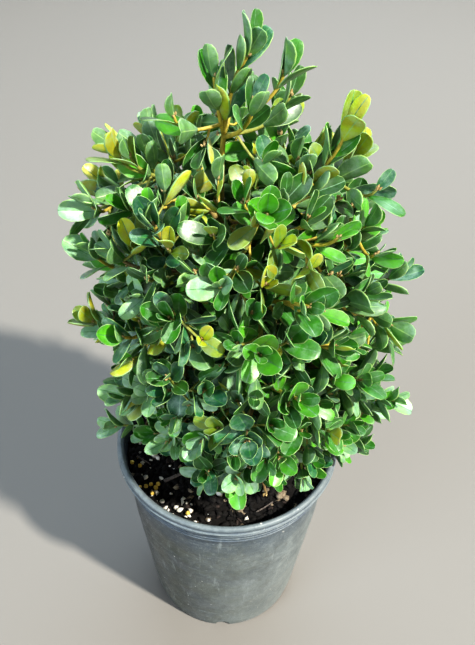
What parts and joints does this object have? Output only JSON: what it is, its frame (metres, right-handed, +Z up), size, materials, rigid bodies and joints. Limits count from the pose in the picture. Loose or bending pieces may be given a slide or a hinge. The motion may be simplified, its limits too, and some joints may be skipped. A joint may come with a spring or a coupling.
{
  "type": "boxwood shrub in a nursery pot",
  "caption": "Small evergreen box shrub grown as a loose cone, with a short stem, boughs and dense small-leaved foliage, standing in a tapered round plastic pot.",
  "frame": {"origin": "middle of the pot's flat underside, on the ground that the pot stands on", "axes": "+Z up along the pot's axis, -Y towards the side that the picture shows, +X to its right"},
  "size_m": [0.2195, 0.2241, 0.4979],
  "materials": {
    "pot_plastic": "moulded grey-black plastic, faded, with a film of pale dust, scuffs and splashed soil",
    "potting_mix": "damp dark bark and peat mix with pale chips, white grit and small round feed grains",
    "bark": "thin grey-tan bark with fine cracks, yellow-green on the young twigs",
    "leaves": "waxy deep green leaves with a sky-like sheen, paler yellow-green below and along the edges"
  },
  "bodies": {
    "root": {"pot": "pot_plastic", "potting_soil": "potting_mix", "trunk": "bark", "bough_skirt_1": "bark", "bough_skirt_2": "bark", "bough_skirt_3": "bark", "bough_skirt_4": "bark", "bough_skirt_5": "bark", "bough_skirt_6": "bark", "bough_skirt_7": "bark", "bough_middle_1": "bark", "bough_middle_2": "bark", "bough_middle_3": "bark", "bough_middle_4": "bark", "bough_middle_5": "bark", "bough_middle_6": "bark", "bough_shoulder_1": "bark", "bough_shoulder_2": "bark", "bough_shoulder_3": "bark", "bough_shoulder_4": "bark", "bough_shoulder_5": "bark", "bough_crest_1": "bark", "bough_crest_2": "bark", "bough_crest_3": "bark", "foliage_leader": "leaves", "foliage_skirt_1": "leaves", "foliage_skirt_2": "leaves", "foliage_skirt_3": "leaves", "foliage_skirt_4": "leaves", "foliage_skirt_5": "leaves", "foliage_skirt_6": "leaves", "foliage_skirt_7": "leaves", "foliage_middle_1": "leaves", "foliage_middle_2": "leaves", "foliage_middle_3": "leaves", "foliage_middle_4": "leaves", "foliage_middle_5": "leaves", "foliage_middle_6": "leaves", "foliage_shoulder_1": "leaves", "foliage_shoulder_2": "leaves", "foliage_shoulder_3": "leaves", "foliage_shoulder_4": "leaves", "foliage_shoulder_5": "leaves", "foliage_crest_1": "leaves", "foliage_crest_2": "leaves", "foliage_crest_3": "leaves"}
  },
  "joints": []
}
